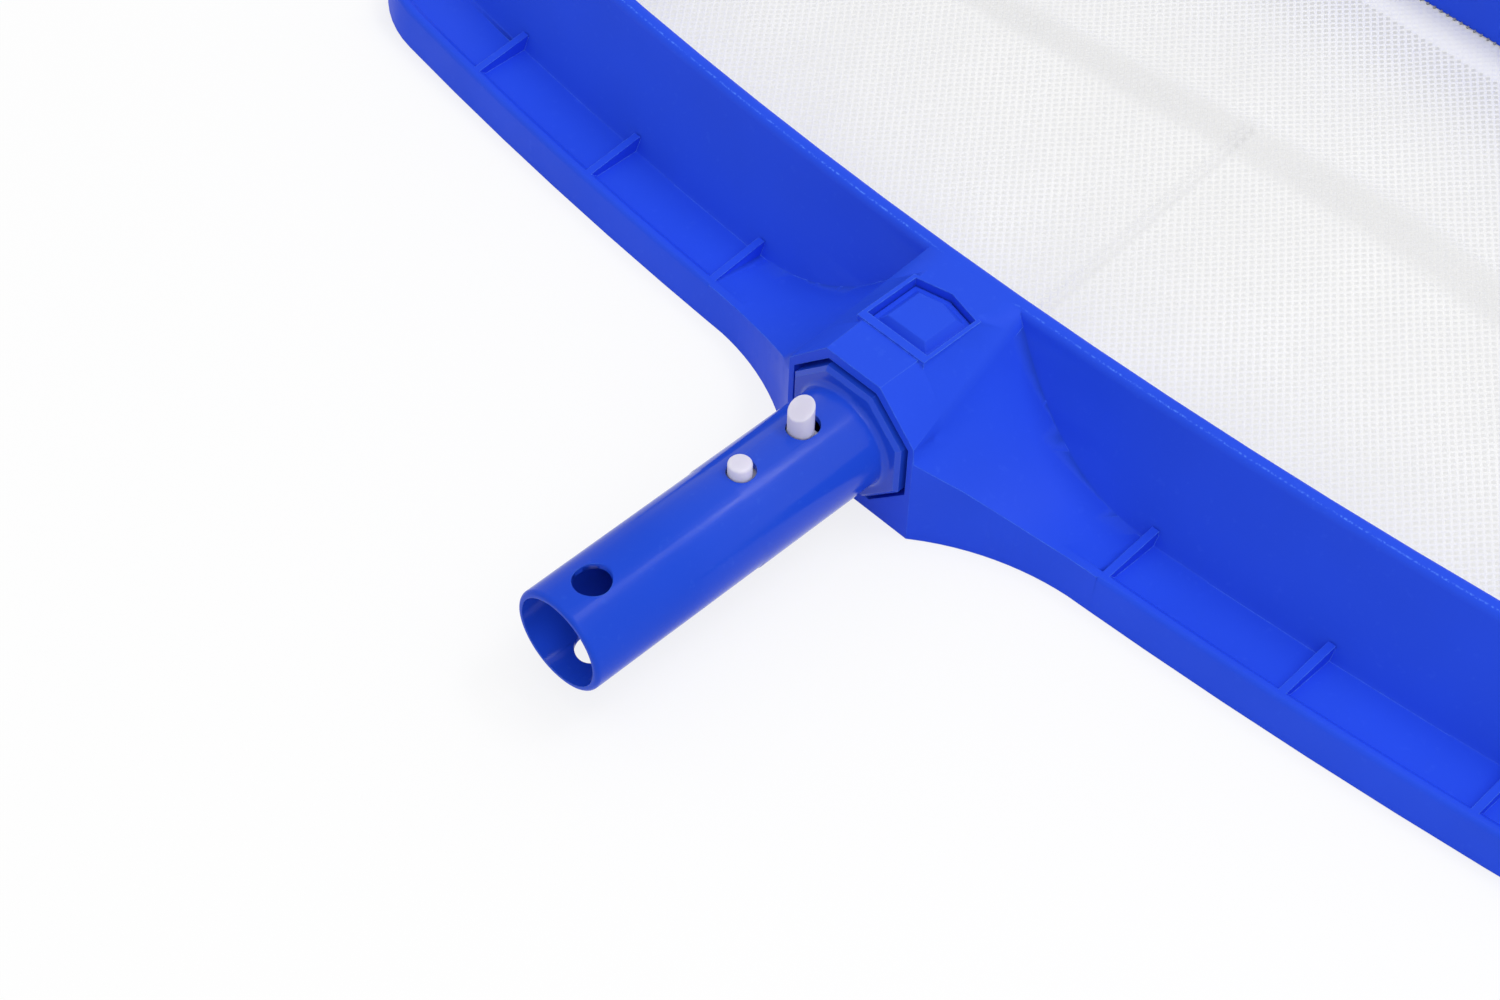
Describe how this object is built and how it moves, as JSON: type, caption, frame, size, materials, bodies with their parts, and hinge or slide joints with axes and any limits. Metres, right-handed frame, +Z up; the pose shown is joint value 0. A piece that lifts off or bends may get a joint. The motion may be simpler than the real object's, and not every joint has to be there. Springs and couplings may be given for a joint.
{
  "type": "pool leaf skimmer net",
  "caption": "Flat leaf net in a wide moulded rectangular hoop, with a snap-in tube adapter whose sprung clip holds a telescopic pole.",
  "frame": {"origin": "on the resting plane, below the middle of the socket's mouth", "axes": "+X along the rear rail to the right seen from the pole, +Y from the pole towards the net, +Z up, away from the surface it lies on"},
  "size_m": [0.4796, 0.3689, 0.0474],
  "materials": {
    "hoop": "satin moulded",
    "adapter": "glossy moulded",
    "clip": "satin moulded",
    "net": "fine knitted mesh",
    "tape": "woven tape"
  },
  "bodies": {
    "frame": {"hoop": "hoop", "clamp_rear": "hoop", "clamp_front": "hoop", "clamp_left": "hoop", "clamp_right": "hoop", "net": "net", "hem_tape": "tape", "adapter": "adapter", "clip_bow": "clip"},
    "latch": {"latch_tongue": "adapter"},
    "leg_upper": {"clip_leg_upper": "clip"},
    "leg_lower": {"clip_leg_lower": "clip"}
  },
  "joints": [
    {"name": "latch_press", "type": "hinge", "parent": "frame", "child": "latch", "pos_m": [0, 0.0364, 0.0388], "axis": [1, 0, 0], "range_deg": [0, 17], "stiffness_Nm_per_rad": 0.1, "springref_deg": -5.73},
    {"name": "leg_upper_press", "type": "hinge", "parent": "frame", "child": "leg_upper", "pos_m": [0, -0.062, 0.03243], "axis": [-1, 0, 0], "range_deg": [0, 8.5], "stiffness_Nm_per_rad": 0.25, "springref_deg": -2.86},
    {"name": "leg_lower_press", "type": "hinge", "parent": "frame", "child": "leg_lower", "pos_m": [0, -0.062, 0.01457], "axis": [1, 0, 0], "range_deg": [0, 8.5], "stiffness_Nm_per_rad": 0.25, "springref_deg": -2.86}
  ]
}
